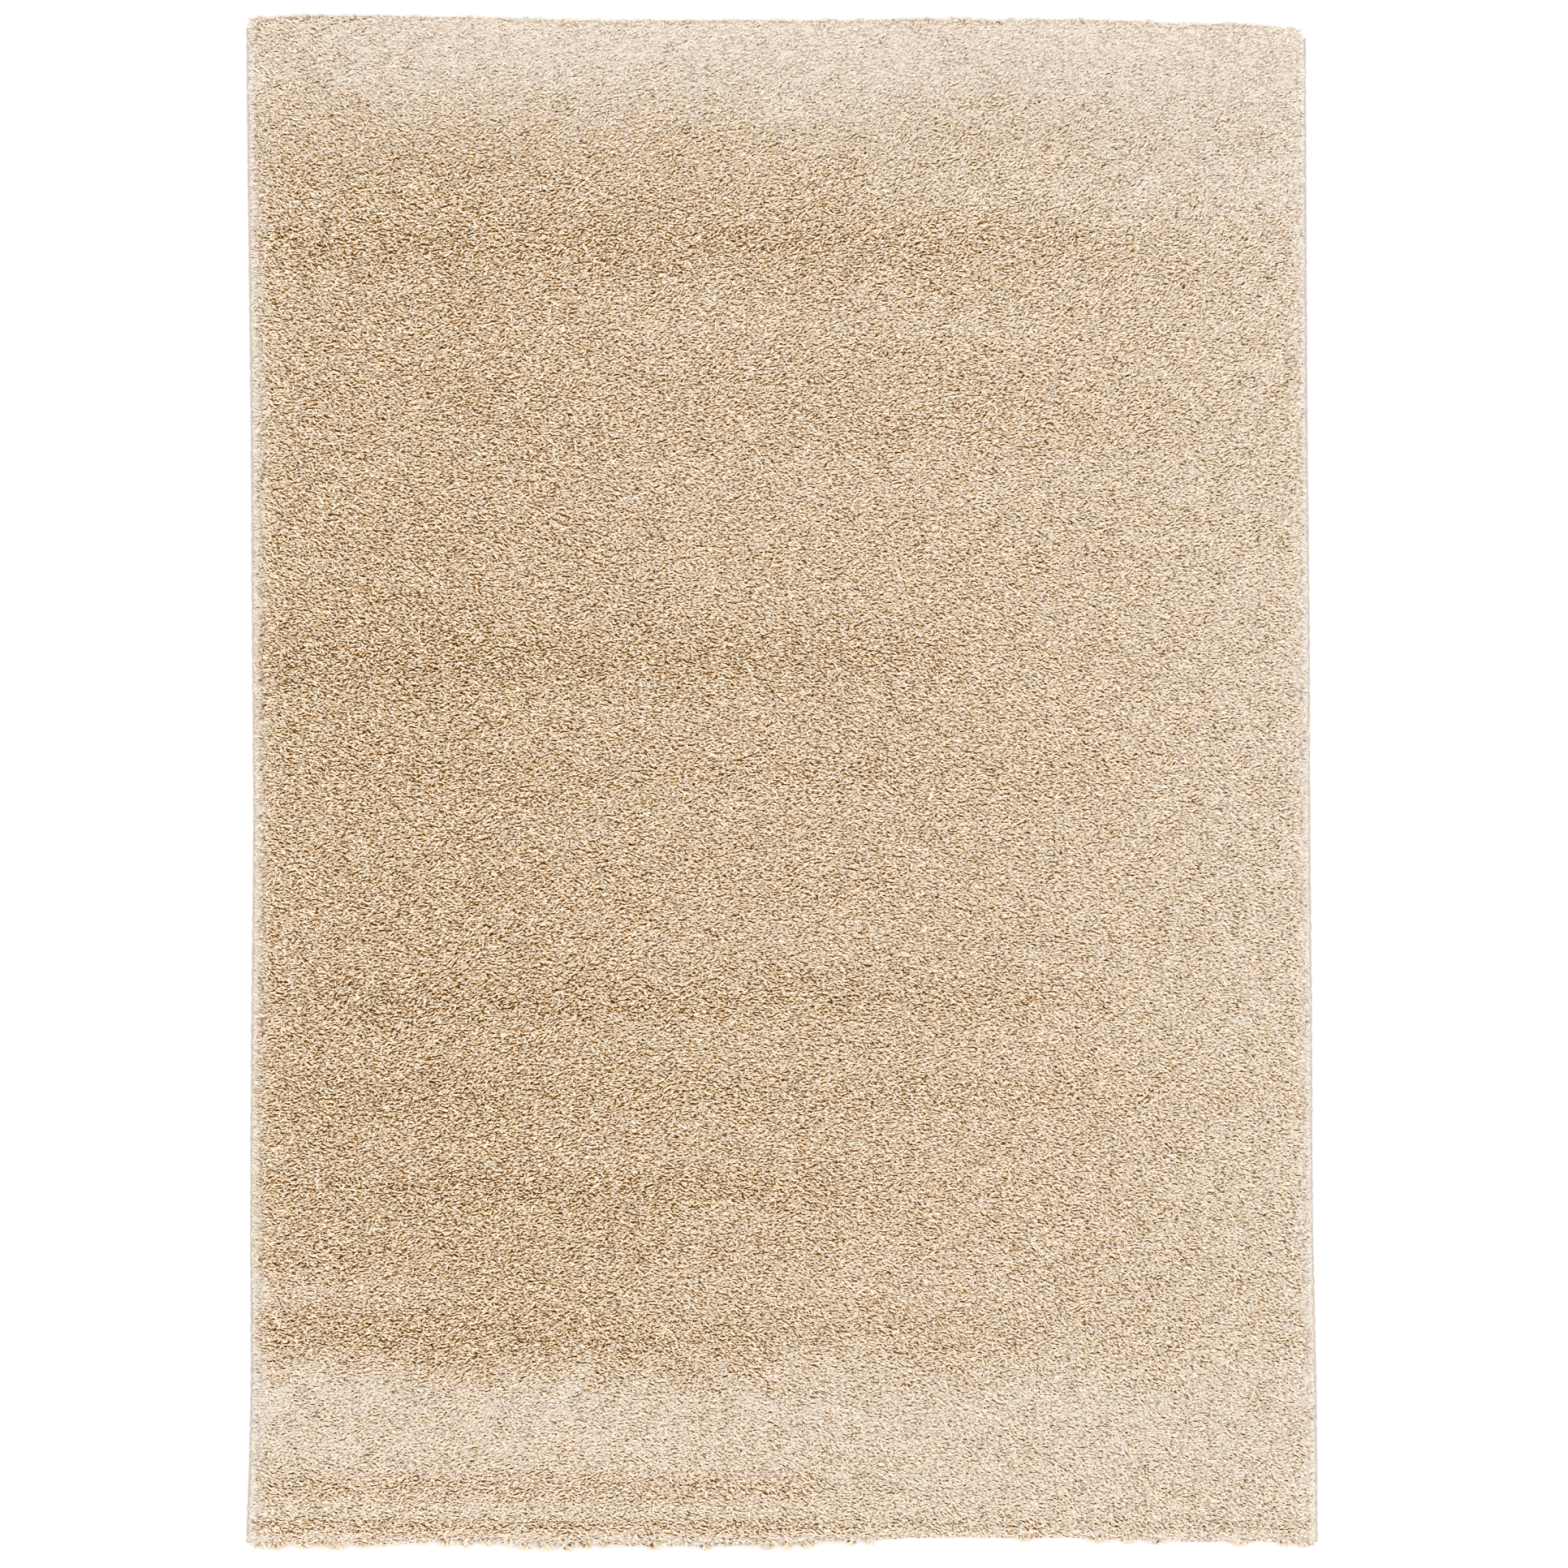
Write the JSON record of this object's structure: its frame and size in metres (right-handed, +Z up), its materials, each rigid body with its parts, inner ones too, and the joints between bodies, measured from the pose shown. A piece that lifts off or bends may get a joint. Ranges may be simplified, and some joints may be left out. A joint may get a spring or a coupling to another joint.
{
  "type": "shag rug",
  "caption": "Flat rectangular shag rug with deep, leaning cut pile on a woven ground and a serged edge along each long side.",
  "frame": {"origin": "middle of the flat underside, at floor level", "axes": "+Y along the rug's length, +X across its width, +Z up out of the pile"},
  "size_m": [1.619, 2.3149, 0.03],
  "materials": {
    "shag_pile": "soft matte twisted yarn",
    "serging_yarn": "matte overcast yarn",
    "ground_cloth": "matte woven backing"
  },
  "bodies": {
    "root": {"shag_mat": "shag_pile", "serged_edge_left": "serging_yarn", "serged_edge_right": "serging_yarn"}
  },
  "joints": []
}
